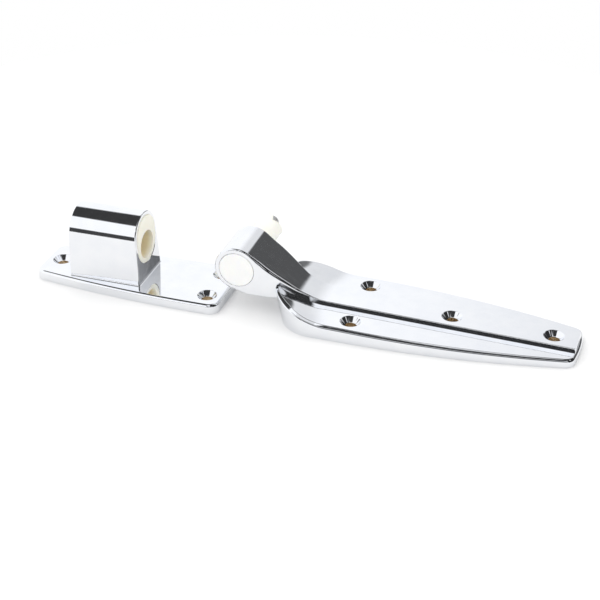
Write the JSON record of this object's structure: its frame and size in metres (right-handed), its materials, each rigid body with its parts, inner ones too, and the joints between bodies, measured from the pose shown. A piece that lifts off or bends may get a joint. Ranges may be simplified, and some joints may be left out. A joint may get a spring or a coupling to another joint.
{
  "type": "cam lift hinge",
  "caption": "Offset strap hinge for a heavy cold-room door, in two chromed halves: a keyed nylon cam socket and a strap whose nylon sleeve and cam lift the door as it opens.",
  "frame": {"origin": "on the hinge axis, at the far end face of the strap's knuckle, where the sleeve leaves it", "axes": "+X along the strap to its tip, +Y along the hinge axis to the sleeve's free end, +Z square off the mounting faces; both mounting faces lie at z = -29.4 mm"},
  "size_m": [0.3634, 0.0876, 0.0524],
  "materials": {
    "casting_chrome": "polished chrome plate on a zinc casting",
    "bush_nylon": "natural cream nylon, as moulded",
    "pin_steel": "ground steel",
    "plug_white": "white nylon, as moulded"
  },
  "bodies": {
    "flange_half": {"flange_casting": "casting_chrome", "flange_cam_bush": "bush_nylon"},
    "pin": {"hinge_pin": "pin_steel"},
    "strap_half": {"strap_casting": "casting_chrome", "strap_cam_sleeve": "bush_nylon", "end_plug": "plug_white"}
  },
  "joints": [
    {"name": "cam_lift", "type": "slide", "parent": "flange_half", "child": "pin", "axis": [0, -1, 0], "range_m": [0, 0.0095]},
    {"name": "swing", "type": "hinge", "parent": "pin", "child": "strap_half", "pos_m": [0, 0, 0], "axis": [0, -1, 0], "range_deg": [0, 110]}
  ],
  "couplings": [
    {"joint": "cam_lift", "follows": "swing", "m_per_rad": 0.0049482}
  ]
}
